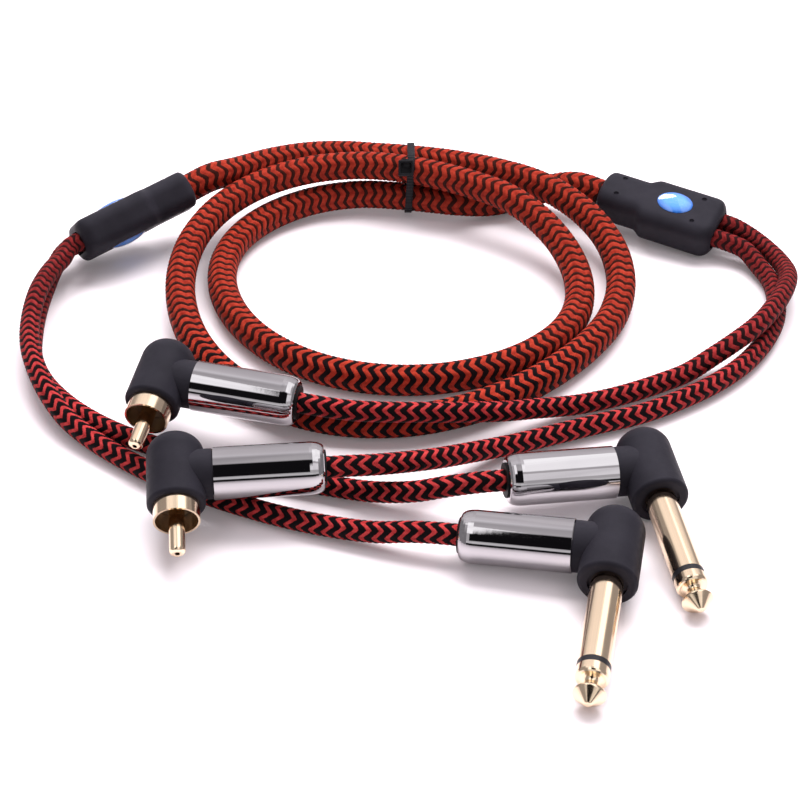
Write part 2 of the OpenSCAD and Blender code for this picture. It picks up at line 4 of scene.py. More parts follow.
import bmesh
import bpy
import numpy as np
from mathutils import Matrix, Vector

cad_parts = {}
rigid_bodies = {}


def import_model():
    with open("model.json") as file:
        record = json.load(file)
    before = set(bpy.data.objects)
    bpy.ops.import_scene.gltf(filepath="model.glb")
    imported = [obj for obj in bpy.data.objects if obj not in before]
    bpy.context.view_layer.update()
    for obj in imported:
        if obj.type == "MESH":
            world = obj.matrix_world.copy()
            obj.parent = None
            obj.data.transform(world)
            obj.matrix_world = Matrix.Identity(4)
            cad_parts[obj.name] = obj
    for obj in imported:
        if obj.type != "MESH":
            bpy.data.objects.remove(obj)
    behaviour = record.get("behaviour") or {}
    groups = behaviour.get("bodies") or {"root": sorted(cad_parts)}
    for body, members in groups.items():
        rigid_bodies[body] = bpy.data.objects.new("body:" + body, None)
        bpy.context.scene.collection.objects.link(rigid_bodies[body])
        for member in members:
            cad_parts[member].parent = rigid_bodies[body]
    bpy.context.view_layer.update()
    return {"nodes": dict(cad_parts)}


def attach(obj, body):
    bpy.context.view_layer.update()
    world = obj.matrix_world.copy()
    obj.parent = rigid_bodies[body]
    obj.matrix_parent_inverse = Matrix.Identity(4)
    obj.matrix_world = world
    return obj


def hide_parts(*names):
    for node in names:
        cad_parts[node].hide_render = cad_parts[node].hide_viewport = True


for old in list(bpy.data.objects):
    bpy.data.objects.remove(old)

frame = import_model()
nodes = frame["nodes"]
MM = 0.001

# ------------------------------------------------------------------ camera
scene = bpy.context.scene
CAMERA_AT = (-3.5 * MM, -339.6 * MM, 247.5 * MM)
CAMERA_TILT = 36.0
CAMERA_LENS = 86.6
cam_data = bpy.data.cameras.new("camera")
cam = bpy.data.objects.new("camera", cam_data)
scene.collection.objects.link(cam)
cam.location = CAMERA_AT
cam.rotation_euler = (math.radians(90 - CAMERA_TILT), 0, 0)
cam_data.lens = CAMERA_LENS
cam_data.sensor_width = 36
cam_data.clip_start = 0.01
cam_data.clip_end = 20
scene.camera = cam
scene.view_settings.view_transform = "Standard"

# ------------------------------------------------------------------ the cords' routes, in millimetres
MAIN_DIA = 7.0
LEAD_DIA = 4.5
SPLITTER_LENGTH = 30.8
LEAD_RECESS = 2
LEAD_SPACING = 2.8
BUSH_END = 30.0
# each splitter's place and its turns about X, Y and Z; for a plug, also the way its barrel points
RIGHT_SPLITTER = ((46.9, 77.7, 7.7), (13.2, 4, -27.5))
LEFT_SPLITTER = ((-55.5, 71.5, 12.6), (39.3, 10, 214))
PLUGS = {
    "rear_phono": ((-53.8, -8.5, 12.2), (13, 2.5, -12.4), 1),
    "front_phono": ((-48.1, -38.9, 10.4), (16, 0, 5.3), 1),
    "rear_jack": ((47, -32.1, 6.75), (5.7, 1.8, 9.3), -1),
    "front_jack": ((37.4, -57.2, 6.75), (5.7, -2.7, -11.6), -1),
}


def turned(turn):
    """Rotation matrix of turns about X, then Y, then Z, in degrees."""
    out = np.eye(3)
    for axis, degrees in enumerate(turn):
        c, s = math.cos(math.radians(degrees)), math.sin(math.radians(degrees))
        i, j = [(1, 2), (2, 0), (0, 1)][axis]
        m = np.eye(3)
        m[i, i], m[i, j], m[j, i], m[j, j] = c, -s, s, c
        out = m @ out
    return out


def placed(at, turn, point):
    return np.array(at) + turned(turn) @ np.array(point, float)


def lead_start(splitter, side):
    x = SPLITTER_LENGTH - LEAD_RECESS
    return [placed(*splitter, (x + d, side * LEAD_SPACING, 0)) for d in (0, LEAD_DIA)]


def lead_end(plug):
    at, turn, way = PLUGS[plug]
    return [placed(at, turn, (way * (BUSH_END + d), 0, 0)) for d in (LEAD_DIA, 0)]


LEAD_MIDDLES = {
    "rear_phono": [
        (82.2, 61.8, 4.5), (85.8, 56, 3.9), (87.6, 49.5, 4.3), (87.5, 42.5, 5.7),
        (85.5, 35.5, 6.8), (82, 28, 7.1), (77, 20.5, 6.9), (71.5, 15.5, 5.8), (66, 12, 4),
        (60, 8, 2.5), (54, 4.5, 2.3), (47.5, 1, 2.3), (40.5, -2, 2.3), (33.5, -4.5, 2.6),
        (26, -7.5, 4), (18, -11, 5.8), (10, -13.5, 7.4), (1.5, -15.3, 8.7), (-7, -16.4, 9.6),
        (-14, -16.8, 10.3)],
    "front_phono": [
        (79.4, 57.2, 4.1), (82.3, 51.8, 2.8), (84.2, 46, 2.3), (84.4, 39.5, 2.3), (83, 30, 2.3),
        (79, 20.5, 2.3), (73, 11.5, 2.3), (65.5, 4, 2.3), (56.5, -2.5, 2.3), (47.5, -7.5, 2.3),
        (38, -11, 2.3), (28, -15, 2.3), (19, -19, 2.8), (11, -23.5, 4.4), (3.5, -28.4, 6.6),
        (-3.5, -32.4, 8.7), (-8.8, -34.8, 10)],
    "front_jack": [
        (-83.1, 46.5, 8), (-84.9, 40.6, 8.4), (-86.4, 31, 8.6), (-86.7, 22, 7.5),
        (-85.5, 12.5, 6.9), (-82.8, 4, 6.3), (-79, -4, 5.2), (-74, -11.2, 3.7),
        (-67.5, -17.5, 2.7), (-60.5, -23.2, 2.3), (-52.5, -29, 2.3), (-44.5, -33.7, 2.3),
        (-36, -38, 2.3), (-26.5, -42, 2.3), (-17, -45.2, 2.5), (-8.5, -47.8, 3.3),
        (-1.5, -49.3, 4.6)],
    "rear_jack": [
        (-85.7, 50, 3.7), (-86.6, 41.6, 3.3), (-87.1, 33, 2.9), (-86.9, 24, 2.4),
        (-85.5, 14, 2.3), (-81.8, 5, 2.3), (-76.5, -2.5, 2.3), (-70, -9, 2.3),
        (-62.5, -14.5, 2.3), (-54, -19, 2.3), (-45, -23, 2.3), (-36, -26.5, 2.3),
        (-27, -29.4, 2.3), (-18, -31.9, 2.3), (-9, -34.6, 2.9), (-0.5, -37, 4.9),
        (6.6, -38.1, 7.2)],
}
LEAD_FROM = {
    "rear_phono": (RIGHT_SPLITTER, 1), "front_phono": (RIGHT_SPLITTER, -1),
    "front_jack": (LEFT_SPLITTER, 1), "rear_jack": (LEFT_SPLITTER, -1),
}

# the main cable's free ends, between each splitter and the ring
LEFT_TAIL = [(-43.9, 79.9, 13), (-35.7, 85.9, 12.3), (-26.4, 91, 11.2)]
RIGHT_TAIL = [(19, 80.3, 3.8), (27, 83.9, 3.6), (34.2, 83.6, 6)]

# the ring of cable: a radius with three waves on each of its two turns, counted from the tie
RING_X, RING_Y = -3.0, 43.0
OUTER_R, INNER_R = 51.5, 40.5
OUTER_WAVE = [(-2.2, -2.1), (0.5, 0.3), (1.6, 1.3)]
INNER_WAVE = [(-1.4, 0.0), (1.3, -2.4), (0.9, 0.2)]
PER_TURN = 24
# in turns: where the outer turn moves in to the inner one, and where the height changes
MOVES_IN_AT, MOVES_IN_OVER = 0.66, 0.42
DROP_AT, DROP_OVER = 0.1, 0.2
LAST_RISE_AT, LAST_RISE_OVER = 1.84, 0.14
# the height over the floor each time that the ring passes the tie
FIRST_HEIGHT, CROSSING_HEIGHT, LAST_HEIGHT = 7.2, 8.5, 1.05
# the directions in which the cable leaves the ring at its two ends
START_WAY, END_WAY = np.array([-1, 0.13, 0]), np.array([1, -0.2, 0])


def smooth(u):
    u = min(1.0, max(0.0, u))
    return u * u * (3 - 2 * u)


def drop(u):
    """From 1 to 0, a little after the tie."""
    return 1 - smooth((u - DROP_AT) / DROP_OVER)


def wave(pairs, a):
    return sum(c * math.cos(k * a) + s * math.sin(k * a) for k, (c, s) in enumerate(pairs, 1))


def ring_height(t):
    """How high the ring lies over the floor: it climbs over itself at the tie."""
    if t < 0.5:
        return FIRST_HEIGHT * drop(t)
    if t <= 1:
        return CROSSING_HEIGHT * smooth((t - 0.5) / 0.5)
    if t < 1.8:
        return CROSSING_HEIGHT * drop(t - 1)
    return LAST_HEIGHT * smooth((t - LAST_RISE_AT) / LAST_RISE_OVER)


def ring_point(t):
    a = math.radians(90 - 360 * t)
    blend = smooth((t - MOVES_IN_AT) / MOVES_IN_OVER)
    r = (OUTER_R + wave(OUTER_WAVE, a)) * (1 - blend) + (INNER_R + wave(INNER_WAVE, a)) * blend
    return np.array([RING_X + r * math.cos(a), RING_Y + r * math.sin(a), MAIN_DIA / 2 + ring_height(t)])


def main_route():
    start = ring_point(0) + MAIN_DIA * START_WAY
    end = ring_point(2) + MAIN_DIA * END_WAY
    route = [LEFT_SPLITTER[0], placed(*LEFT_SPLITTER, (-MAIN_DIA, 0, 0))]
    route += LEFT_TAIL + [start + MAIN_DIA * START_WAY, start]
    route += [ring_point(i / PER_TURN) for i in range(2 * PER_TURN + 1)]
    route += [end, end + MAIN_DIA * END_WAY] + RIGHT_TAIL
    route += [placed(*RIGHT_SPLITTER, (-MAIN_DIA, 0, 0)), RIGHT_SPLITTER[0]]
    return np.array(route, float)


def lead_route(name):
    splitter, side = LEAD_FROM[name]
    route = lead_start(splitter, side) + LEAD_MIDDLES[name] + lead_end(name)
    return np.array(route, float)


SPAN_PIECES = 40


def smooth_line(points, step):
    """Even points on a smooth curve through the given ones."""
    p = np.asarray(points, float)
    k = np.r_[0, np.cumsum(np.sqrt(np.linalg.norm(np.diff(p, axis=0), axis=1)))]
    n = len(p)
    tangent = np.zeros_like(p)
    for i in range(1, n - 1):
        a, b = k[i] - k[i - 1], k[i + 1] - k[i]
        tangent[i] = ((p[i] - p[i - 1]) / a * b + (p[i + 1] - p[i]) / b * a) / (a + b)
    tangent[0] = (p[1] - p[0]) / (k[1] - k[0])
    tangent[-1] = (p[-1] - p[-2]) / (k[-1] - k[-2])
    fine = []
    for i in range(n - 1):
        h = k[i + 1] - k[i]
        u = np.linspace(0, 1, SPAN_PIECES, endpoint=False)[:, None]
        fine.append(
            (2 * u**3 - 3 * u**2 + 1) * p[i] + (u**3 - 2 * u**2 + u) * h * tangent[i]
            + (3 * u**2 - 2 * u**3) * p[i + 1] + (u**3 - u**2) * h * tangent[i + 1])
    fine = np.vstack(fine + [p[-1:]])
    run = np.r_[0, np.cumsum(np.linalg.norm(np.diff(fine, axis=0), axis=1))]
    count = max(2, int(round(run[-1] / step)))
    at = np.linspace(0, run[-1], count + 1)
    return np.stack([np.interp(at, run, fine[:, j]) for j in range(3)], 1), at


def frames(line):
    """Side and top directions at each point of a line, with no twist."""
    t = np.gradient(line, axis=0)
    t /= np.linalg.norm(t, axis=1)[:, None]
    side = np.cross(t, (0, 0, 1.0))
    side /= np.linalg.norm(side, axis=1)[:, None]
    return side, np.cross(side, t)


def mesh_object(name, verts, faces, uvs=None):
    """A smooth mesh; uvs is a dictionary of UV maps, each with one pair for each face corner."""
    mesh = bpy.data.meshes.new(name)
    mesh.from_pydata([tuple(v) for v in verts], [], faces)
    for title, pairs in (uvs or {}).items():
        layer = mesh.uv_layers.new(name=title)
        layer.data.foreach_set("uv", np.asarray(pairs, np.float32).ravel())
    mesh.polygons.foreach_set("use_smooth", [True] * len(mesh.polygons))
    mesh.update()
    obj = bpy.data.objects.new(name, mesh)
    scene.collection.objects.link(obj)
    return obj


def smooth_faces(mesh, sharp):
    """Smooth faces, with the edges that turn by more than this many degrees left sharp."""
    mesh.polygons.foreach_set("use_smooth", [True] * len(mesh.polygons))
    mesh.set_sharp_from_angle(angle=math.radians(sharp))


def quads(rows, sides, closed=False):
    """Faces between rows of points that go round; closed joins the last row to the first."""
    return [(i * sides + j, i * sides + (j + 1) % sides,
             (i + 1) % rows * sides + (j + 1) % sides, (i + 1) % rows * sides + j)
            for i in range(rows if closed else rows - 1) for j in range(sides)]


def dress(obj, mat, slot, *stands_for):
    """Gives a piece its material, puts it on the root body and hides the CAD nodes it replaces; slot is
    not used.
    """
    obj.data.materials.append(mat)
    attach(obj, "root")
    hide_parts(*stands_for)


# ------------------------------------------------------------------ braid
# yarn bands: how round each is, how round the folds of the zigzag are, and the crease at each fold
BAND_ROUND = 0.55
FOLD_ROUND = 0.6
# CREASE_NARROW also sets how narrow the painted shade in each crease of the yarn's colour is
CREASE_NARROW = 5
CREASE_DEPTH = 0.35
# a cord's path takes every fourth point of its line
PATH_EVERY = 4


def fold_of(turn, zigs):
    """0 and 1 at the two kinds of fold line that run along the cord, where the bands turn back."""
    fold = np.abs(((turn * zigs) % 1.0) - 0.5) * 2
    return (1 - FOLD_ROUND) * fold + FOLD_ROUND * fold * fold * (3 - 2 * fold)


def band_height(phase, duty):
    """Round profile across each yarn band: red fills the first part of a period, black the rest."""
    f = phase % 1.0
    return np.where(f < duty, np.sin(np.pi * f / duty), np.sin(np.pi * (f - duty) / (1 - duty)))


def yarn_radius(radius, relief, phase, fold, duty):
    """A cord's radius, lower between its bands and in the creases."""
    band = np.abs(band_height(phase, duty)) ** BAND_ROUND
    crease = 1 - np.minimum(1, np.minimum(fold, 1 - fold) * CREASE_NARROW)
    return radius + relief * (band - 1) - relief * CREASE_DEPTH * crease


def braid_maps(u, zig, duty, sides):
    """The UV maps of a cord's faces: place along and round the braid, and the braid's look there."""
    uvs, looks = [], []
    for i in range(len(u) - 1):
        for j in range(sides):
            v0, v1 = j / sides, (j + 1) / sides
            uvs += [(u[i], v0), (u[i], v1), (u[i + 1], v1), (u[i + 1], v0)]
            looks += [(zig[i], duty[i])] * 2 + [(zig[i + 1], duty[i + 1])] * 2
    for end in (0, -1):
        uvs += [(u[end], 0)] * sides
        looks += [(zig[end], duty[end])] * sides
    return {"braid": uvs, "look": looks}


def braided_cord(name, route, radius, step, sides, braid, relief):
    """A braided tube whose yarn bands stand up in zigzags round it.

    The braid changes evenly from its front look to its back look with the distance from the
    viewer's side: each value of braid is a (front, back) pair."""
    line, run = smooth_line(route, step)
    side, top = frames(line)
    back = np.clip((line[:, 1] - braid["from_y"]) / braid["over"], 0, 1)
    back = back * back * (3 - 2 * back)
    period, zig, duty = [
        braid[key][0] + (braid[key][1] - braid[key][0]) * back for key in ("period", "zig", "duty")]
    u = np.r_[0, np.cumsum(np.diff(run) / period[1:])]
    turn = np.arange(sides) / sides
    angle = 2 * math.pi * turn
    fold = fold_of(turn, braid["zigs"])[None, :]
    r = yarn_radius(radius, relief, u[:, None] + zig[:, None] * fold, fold, duty[:, None])
    ring = (line[:, None, :] + (r * np.cos(angle))[:, :, None] * side[:, None, :]
            + (r * np.sin(angle))[:, :, None] * top[:, None, :])
    last = (len(line) - 1) * sides
    ends = [tuple(range(sides - 1, -1, -1)), tuple(range(last, last + sides))]
    obj = mesh_object(
        name, (ring.reshape(-1, 3) * MM).tolist(), quads(len(line), sides) + ends,
        braid_maps(u, zig, duty, sides))
    obj.data.flip_normals()
    path = line[::PATH_EVERY]
    if (len(line) - 1) % PATH_EVERY:
        path = np.vstack([path, line[-1:]])
    return obj, path, run[-1]


# ------------------------------------------------------------------ material nodes
def material(name):
    mat = bpy.data.materials.new(name)
    mat.use_nodes = True
    tree = mat.node_tree
    shader = tree.nodes["Principled BSDF"]
    return mat, tree, shader


def node(tree, kind, **sets):
    made = tree.nodes.new(kind)
    for key, value in sets.items():
        setattr(made, key, value)
    return made


def feed(tree, socket, value):
    """Links an output to an input, or sets the input to a number or a colour."""
    if isinstance(value, bpy.types.NodeSocket):
        tree.links.new(value, socket)
    elif isinstance(value, tuple):
        socket.default_value = (*value, 1)
    else:
        socket.default_value = value


def set_inputs(made, **values):
    """Sets a node's inputs; an underscore stands for a space in an input's name."""
    for title, value in values.items():
        made.inputs[title.replace("_", " ")].default_value = value


def math_node(tree, operation, *values, clamp=False):
    made = node(tree, "ShaderNodeMath", operation=operation, use_clamp=clamp)
    for socket, value in zip(made.inputs, values):
        feed(tree, socket, value)
    return made.outputs[0]


def plus(tree, a, b):
    return math_node(tree, "ADD", a, b)


def minus(tree, a, b):
    return math_node(tree, "SUBTRACT", a, b)


def times(tree, a, b, clamp=False):
    return math_node(tree, "MULTIPLY", a, b, clamp=clamp)


def over(tree, a, b, clamp=False):
    return math_node(tree, "DIVIDE", a, b, clamp=clamp)


def ramp(tree, source, stops):
    made = node(tree, "ShaderNodeValToRGB")
    tree.links.new(source, made.inputs[0])
    for _ in stops[2:]:
        made.color_ramp.elements.new(0.5)
    for element, (at, colour) in zip(made.color_ramp.elements, stops):
        element.position = at
        element.color = (*colour, 1)
    return made.outputs[0]


def mixed(tree, share, base, laid, blend_type="MIX"):
    """One colour laid over another by a share from 0 to 1."""
    made = node(tree, "ShaderNodeMix", data_type="RGBA", blend_type=blend_type)
    feed(tree, made.inputs["Factor"], share)
    feed(tree, made.inputs[6], base)
    feed(tree, made.inputs[7], laid)
    return made.outputs[2]


def noise(tree, scale, detail):
    made = node(tree, "ShaderNodeTexNoise")
    set_inputs(made, Scale=scale, Detail=detail)
    tree.links.new(node(tree, "ShaderNodeTexCoord").outputs["Object"], made.inputs["Vector"])
    return made.outputs["Fac"]


def bump(tree, shader, height, strength, depth):
    """Bumps in a surface; depth is in millimetres."""
    made = node(tree, "ShaderNodeBump")
    set_inputs(made, Strength=strength, Distance=depth * MM)
    tree.links.new(height, made.inputs["Height"])
    tree.links.new(made.outputs[0], shader.inputs["Normal"])


def share_of(colour, share):
    return tuple(share * c for c in colour)


def blotched(tree, socket, scale, detail, colour, low, high):
    """A colour that drifts between two shares of itself; low and high are (noise level, share)."""
    stops = [(level, share_of(colour, share)) for level, share in (low, high)]
    tree.links.new(ramp(tree, noise(tree, scale, detail), stops), socket)


def uv_sockets(tree, title):
    """The two coordinates of a UV map."""
    parts = node(tree, "ShaderNodeSeparateXYZ")
    tree.links.new(node(tree, "ShaderNodeUVMap", uv_map=title).outputs[0], parts.inputs[0])
    return parts.outputs[0], parts.outputs[1]


# ------------------------------------------------------------------ braid material
YARNS_PER_BAND_PAIR = 8
YARN_EDGE = 18.0


def fold_socket(tree, turn, zigs):
    """fold_of, in nodes."""
    place = math_node(tree, "FRACT", times(tree, turn, zigs))
    fold = times(tree, math_node(tree, "ABSOLUTE", minus(tree, place, 0.5)), 2)
    rounded = node(tree, "ShaderNodeMapRange", interpolation_type="SMOOTHSTEP")
    tree.links.new(fold, rounded.inputs["Value"])
    return plus(tree, times(tree, fold, 1 - FOLD_ROUND),
                times(tree, rounded.outputs["Result"], FOLD_ROUND))


def red_share(tree, run, duty):
    """1 on the red bands, which fill the first part of each period, and 0 on the black ones."""
    fuzz = times(tree, minus(tree, noise(tree, 1900, 3), 0.5), 0.16)
    phase = math_node(tree, "FRACT", plus(tree, run, fuzz))
    rising = times(tree, phase, YARN_EDGE, clamp=True)
    falling = times(tree, minus(tree, duty, phase), YARN_EDGE, clamp=True)
    return times(tree, rising, falling)


def fine_yarns(tree, run):
    """Fine yarns that lie along the bands, from -1 to 1."""
    wander = times(tree, noise(tree, 500, 2), 0.12)
    return math_node(tree, "SINE", times(tree, plus(tree, run, wander), 2 * math.pi * YARNS_PER_BAND_PAIR))


def yarn_shade(tree, strand, fold):
    """How light the yarn is: it varies with the fine yarns and in blotches, and painted shade darkens it
    in the creases.
    """
    to_fold = math_node(tree, "MINIMUM", fold, minus(tree, 1.0, fold))
    crease = times(tree, to_fold, CREASE_NARROW, clamp=True)
    shade = plus(tree, times(tree, strand, 0.10), times(tree, noise(tree, 700, 4), 0.9))
    # painted shade: the lightness is multiplied by 0.72 at each fold, rising to 1.02 between the folds
    return times(tree, shade, plus(tree, times(tree, crease, 0.3), 0.72))


def braid_material(name, braid, bright, deep, black, far_red, far_black):
    """Red and black yarn; toward the back the red dims by far_red and the black turns to far_black."""
    mat, tree, shader = material(name)
    zig, duty = uv_sockets(tree, "look")
    along, turn = uv_sockets(tree, "braid")
    fold = fold_socket(tree, turn, braid["zigs"])
    run = plus(tree, along, times(tree, fold, zig))
    strand = fine_yarns(tree, run)
    # shade holds the yarn's own tone and the painted shade in the creases
    shade = yarn_shade(tree, strand, fold)
    front, back = braid["duty"]
    far = over(tree, minus(tree, duty, front), back - front, clamp=True)
    red = ramp(tree, shade, [(0.2, deep), (0.62, bright)])
    red = mixed(tree, far, red, (far_red,) * 3, "MULTIPLY")
    dark = ramp(tree, shade, [(0.2, share_of(black, 0.45)), (0.75, black)])
    dark = mixed(tree, far, dark, far_black)
    yarn = mixed(tree, red_share(tree, run, duty), dark, red)
    tree.links.new(yarn, shader.inputs["Base Color"])
    set_inputs(shader, Roughness=0.6, Sheen_Weight=0.02, Sheen_Roughness=0.4, Specular_IOR_Level=0.07)
    height = plus(tree, times(tree, strand, 0.35), times(tree, noise(tree, 3500, 3), 0.6))
    bump(tree, shader, height, 0.4, depth=0.12)
    return mat


# ------------------------------------------------------------------ other materials
def plastic_material(name, colour, rough, grain, strength, spec):
    mat, tree, shader = material(name)
    blotched(tree, shader.inputs["Base Color"], 160, 4, colour, (0.3, 0.85), (0.7, 1.12))
    blotched(tree, shader.inputs["Roughness"], 700, 3, (rough,) * 3, (0.3, 0.88), (0.7, 1.12))
    set_inputs(shader, Specular_IOR_Level=spec)
    bump(tree, shader, noise(tree, grain, 2), strength, depth=0.05)
    return mat


def lens_material(name, middle, rim):
    """Clear resin over a blue plate; the blue is painted deeper toward the rim, as painted shade where the
    dome slopes away.
    """
    mat, tree, shader = material(name)
    out, _ = uv_sockets(tree, "rim")
    cloud = times(tree, minus(tree, noise(tree, 260, 3), 0.5), 0.3)
    # painted shade: the blue turns from the middle colour to the rim colour over the outer part of the
    # badge
    blue = ramp(tree, plus(tree, out, cloud), [(0.55, middle), (0.97, rim)])
    tree.links.new(blue, shader.inputs["Base Color"])
    set_inputs(shader, Roughness=0.12, Coat_Weight=1.0)
    bump(tree, shader, noise(tree, 1200, 2), 0.02, depth=0.05)
    return mat


def metal_material(name, colour, rough):
    mat, tree, shader = material(name)
    blotched(tree, shader.inputs["Base Color"], 60, 3, colour, (0.35, 0.93), (0.65, 1))
    blotched(tree, shader.inputs["Roughness"], 300, 4, (rough,) * 3, (0.35, 0.75), (0.75, 1.35))
    set_inputs(shader, Metallic=1.0)
    bump(tree, shader, noise(tree, 900, 2), 0.06, depth=0.03)
    return mat


# zigs is the zigzags round a cord, period the millimetres of one red and one black band, zig how
# many periods a band moves between folds, and duty the share of red, each of these for the front
# and the back; the look changes from from_y on, over that many millimetres
MAIN_BRAID = dict(
    zigs=5, period=(2.57, 2.5), zig=(0.54, 0.42), duty=(0.53, 0.64), from_y=0, over=32)
LEAD_BRAID = dict(
    zigs=4, period=(2.62, 2.05), zig=(0.62, 0.42), duty=(0.46, 0.62), from_y=-12, over=52)
BLACK_YARN = (0.006, 0.0032, 0.0045)
main_mat = braid_material(
    "main braid", MAIN_BRAID, bright=(0.455, 0.0455, 0.0237), deep=(0.22, 0.0146, 0.0082),
    black=BLACK_YARN, far_red=0.84, far_black=(0.030, 0.0062, 0.0042))
lead_mat = braid_material(
    "lead braid", LEAD_BRAID, bright=(0.57, 0.055, 0.055), deep=(0.26, 0.016, 0.018),
    black=BLACK_YARN, far_red=0.40, far_black=(0.020, 0.0045, 0.0050))
body_mat = plastic_material(
    "body plastic", (0.0215, 0.0197, 0.0264), rough=0.5, grain=2600, strength=0.3, spec=0.1)
chrome_mat = metal_material("chrome", (0.50, 0.487, 0.50), rough=0.035)
gold_mat = metal_material("gold", (1.0, 0.80, 0.57), rough=0.14)
bush_mat = plastic_material(
    "bush rubber", (0.007, 0.0062, 0.007), rough=0.55, grain=3000, strength=0.3, spec=0.2)
band_mat = plastic_material(
    "jack insulator", (0.016, 0.015, 0.018), rough=0.4, grain=3000, strength=0.15, spec=0.4)
brown_mat = plastic_material(
    "ring insulator", (0.06, 0.033, 0.015), rough=0.35, grain=2500, strength=0.2, spec=0.4)
# the badge's rim colour is painted shade at the dome's sloping edge
badge_mat = lens_material("badge", middle=(0.085, 0.30, 0.78), rim=(0.028, 0.14, 0.52))
tie_mat = plastic_material(
    "tie nylon", (0.011, 0.011, 0.0135), rough=0.4, grain=2500, strength=0.2, spec=0.15)

# ------------------------------------------------------------------ cords
main, main_path, main_length = braided_cord(
    "main_cable", main_route(), MAIN_DIA / 2, step=0.26, sides=48, braid=MAIN_BRAID, relief=0.3)
dress(main, main_mat, "main_braid", "left_main_cable", "main_cable_coil", "right_main_cable")

PLUG_PIECES = {
    "phono": ("elbow", "barrel", "bush", "ring", "insulator", "pin"),
    "jack": ("elbow", "barrel", "bush", "sleeve", "insulator", "tip"),
}
for lead in LEAD_MIDDLES:
    cord, path, length = braided_cord(
        lead + "_braid", lead_route(lead), LEAD_DIA / 2, step=0.24, sides=32, braid=LEAD_BRAID,
        relief=0.22)
    dress(cord, lead_mat, "lead_braid", lead + "_lead")
    kind = lead.split("_")[1]

# ------------------------------------------------------------------ the plugs' materials
PIECE_MATERIALS = {
    "elbow": body_mat, "barrel": chrome_mat, "bush": bush_mat, "ring": gold_mat, "pin": gold_mat,
    "sleeve": gold_mat, "tip": gold_mat, "phono_insulator": brown_mat, "jack_insulator": band_mat,
}
for plug in PLUGS:
    kind = plug.split("_")[1]
    for piece in PLUG_PIECES[kind]:
        slots = nodes[f"{plug}_{piece}"].data.materials
        for i in range(len(slots)):
            slots[i] = PIECE_MATERIALS.get(piece) or PIECE_MATERIALS[f"{kind}_{piece}"]

# ------------------------------------------------------------------ splitters
SPLITTER_THICK = 9.2
SPLITTER_WIDE = 15.4
SPLITTER_NARROW = 11.8
SPLITTER_STEP = 11.2
BLEND_BEFORE, BLEND_OVER = 1.0, 3.0
SPLITTER_EDGE = 3.2
# the corner radii at the narrow and the wide end, seen from above and from the side
NECK_CORNER, END_CORNER = 2.4, 3.4
NECK_EDGE, END_EDGE = 1.5, 2.2
LEAST_FLAT = 0.3
END_ROOM = 4.0
STATIONS = 48
DIMPLE_PLACES = ((4.7, 2.9), (25.0, 4.1))
DIMPLE_HEIGHT, DIMPLE_R = 4.72, 0.66
RECESS_GAP = 0.35
RECESS_CORNER = 2.29
BADGE_PLACE = 19.0
BADGE_HALF = (4.4, 3.45)
BADGE_SIDES, BADGE_ROWS = 64, 14
# the last row stops a little short of the middle
BADGE_STOP = BADGE_ROWS - 0.4
BADGE_FOOT, BADGE_RIM, BADGE_RISE, BADGE_POWER = -0.3, 0.06, 0.84, 0.8


def round_off(distance, radius):
    """How much a side draws in, this far from the end of a rounded corner."""
    if distance >= radius:
        return 0.0
    return radius - math.sqrt(radius**2 - (radius - distance)**2)


def housing_section(x):
    """Half width and half thickness of a splitter, this far from its narrow end."""
    to_end = SPLITTER_LENGTH - x
    grow = smooth((x - SPLITTER_STEP + BLEND_BEFORE) / BLEND_OVER)
    half_w = (SPLITTER_NARROW + (SPLITTER_WIDE - SPLITTER_NARROW) * grow) / 2
    half_w -= round_off(x, NECK_CORNER) + round_off(to_end, END_CORNER)
    half_t = SPLITTER_THICK / 2 - round_off(x, NECK_EDGE) - round_off(to_end, END_EDGE)
    return half_w, half_t


def section_points(half_w, half_t, edge):
    """Points round a rounded rectangle in the YZ plane, the same count for any size."""
    per_corner, per_side = 9, 7
    edge = min(edge, half_w - LEAST_FLAT, half_t - LEAST_FLAT)
    out = []
    for corner, (sy, sz) in enumerate([(1, 1), (-1, 1), (-1, -1), (1, -1)]):
        cy, cz = sy * (half_w - edge), sz * (half_t - edge)
        for k in range(per_corner):
            a = math.radians(90 * corner + 90 * k / (per_corner - 1))
            out.append((cy + edge * math.cos(a), cz + edge * math.sin(a)))
        along = (half_w if corner % 2 == 0 else half_t) - edge
        dy, dz = [(-1, 0), (0, -1), (1, 0), (0, 1)][corner]
        y, z = out[-1]
        for k in range(1, per_side):
            out.append((y + dy * 2 * along * k / per_side, z + dz * 2 * along * k / per_side))
    return out


def carve(obj, cutters):
    """Cuts the other objects out of this one."""
    for cutter in cutters:
        cut = obj.modifiers.new("cut", "BOOLEAN")
        cut.operation = "DIFFERENCE"
        cut.solver = "EXACT"
        cut.object = cutter
    bpy.context.view_layer.update()
    done = bpy.data.meshes.new_from_object(obj.evaluated_get(bpy.context.evaluated_depsgraph_get()))
    obj.modifiers.clear()
    obj.data = done
    for cutter in cutters:
        bpy.data.objects.remove(cutter)


def swept_mesh(name, rings, place):
    """A closed skin through rings of points, carried to its place."""
    sides = len(rings[0])
    verts = [placed(*place, p) * MM for ring in rings for p in ring]
    last = (len(rings) - 1) * sides
    ends = [tuple(range(sides - 1, -1, -1)), tuple(range(last, last + sides))]
    return mesh_object(name, verts, ends[:1] + quads(len(rings), sides) + ends[1:])


def ball(name, centre, radius, place):
    rows, sides = 12, 20
    rings = []
    for k in range(1, rows):
        a = math.pi * k / rows
        rings.append([
            (centre[0] - radius * math.cos(a), centre[1] + radius * math.sin(a) * math.cos(b),
             centre[2] + radius * math.sin(a) * math.sin(b))
            for b in (2 * math.pi * j / sides for j in range(sides))])
    return swept_mesh(name, rings, place)


def dimple_balls(place):
    return [ball("dimple", (x, side * y, face * DIMPLE_HEIGHT), DIMPLE_R, place)
            for face in (-1, 1) for side in (-1, 1) for x, y in DIMPLE_PLACES]


